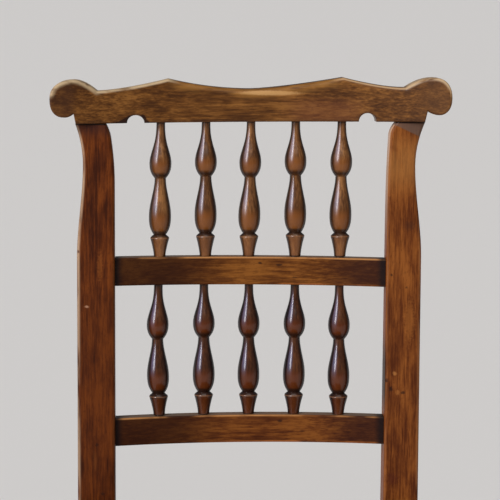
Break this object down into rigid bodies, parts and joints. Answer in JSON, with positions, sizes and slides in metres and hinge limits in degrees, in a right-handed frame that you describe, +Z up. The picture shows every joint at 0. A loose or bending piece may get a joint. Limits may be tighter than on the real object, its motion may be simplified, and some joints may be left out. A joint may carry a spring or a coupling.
{
  "type": "spindle back chair",
  "caption": "Wooden dining chair with a raked back of turned spindles between bent rails under a shaped crest rail with round ears.",
  "frame": {"origin": "on the floor, in the middle of the chair's footprint", "axes": "+Z up, the sitter faces -Y, +X to the right in the picture's view from the front"},
  "size_m": [0.436, 0.4968, 0.9258],
  "materials": {
    "crest_rail_wood": "worn varnish, semi-gloss",
    "back_post_wood": "worn varnish, semi-gloss",
    "back_rail_wood": "worn varnish, semi-gloss",
    "upper_spindle_wood": "worn varnish, semi-gloss",
    "lower_spindle_wood": "worn varnish, semi-gloss",
    "seat_board_wood": "worn varnish, semi-gloss",
    "seat_frame_wood": "worn varnish, semi-gloss",
    "front_leg_wood": "worn varnish, semi-gloss",
    "stretcher_wood": "worn varnish, semi-gloss",
    "corner_block_wood": "bare, dusty",
    "seat_screw_steel": "dull"
  },
  "bodies": {
    "root": {"crest_rail": "crest_rail_wood", "left_back_post": "back_post_wood", "right_back_post": "back_post_wood", "middle_rail": "back_rail_wood", "lower_rail": "back_rail_wood", "upper_spindle_1": "upper_spindle_wood", "upper_spindle_2": "upper_spindle_wood", "upper_spindle_3": "upper_spindle_wood", "upper_spindle_4": "upper_spindle_wood", "upper_spindle_5": "upper_spindle_wood", "lower_spindle_1": "lower_spindle_wood", "lower_spindle_2": "lower_spindle_wood", "lower_spindle_3": "lower_spindle_wood", "lower_spindle_4": "lower_spindle_wood", "lower_spindle_5": "lower_spindle_wood", "seat_board": "seat_board_wood", "front_seat_rail": "seat_frame_wood", "back_seat_rail": "seat_frame_wood", "left_seat_rail": "seat_frame_wood", "right_seat_rail": "seat_frame_wood", "left_front_leg": "front_leg_wood", "right_front_leg": "front_leg_wood", "left_side_stretcher": "stretcher_wood", "right_side_stretcher": "stretcher_wood", "cross_stretcher": "stretcher_wood", "rear_stretcher": "stretcher_wood", "back_left_block": "corner_block_wood", "back_right_block": "corner_block_wood", "front_left_block": "corner_block_wood", "front_right_block": "corner_block_wood", "back_left_screw": "seat_screw_steel", "back_right_screw": "seat_screw_steel", "front_left_screw": "seat_screw_steel", "front_right_screw": "seat_screw_steel"}
  },
  "joints": []
}
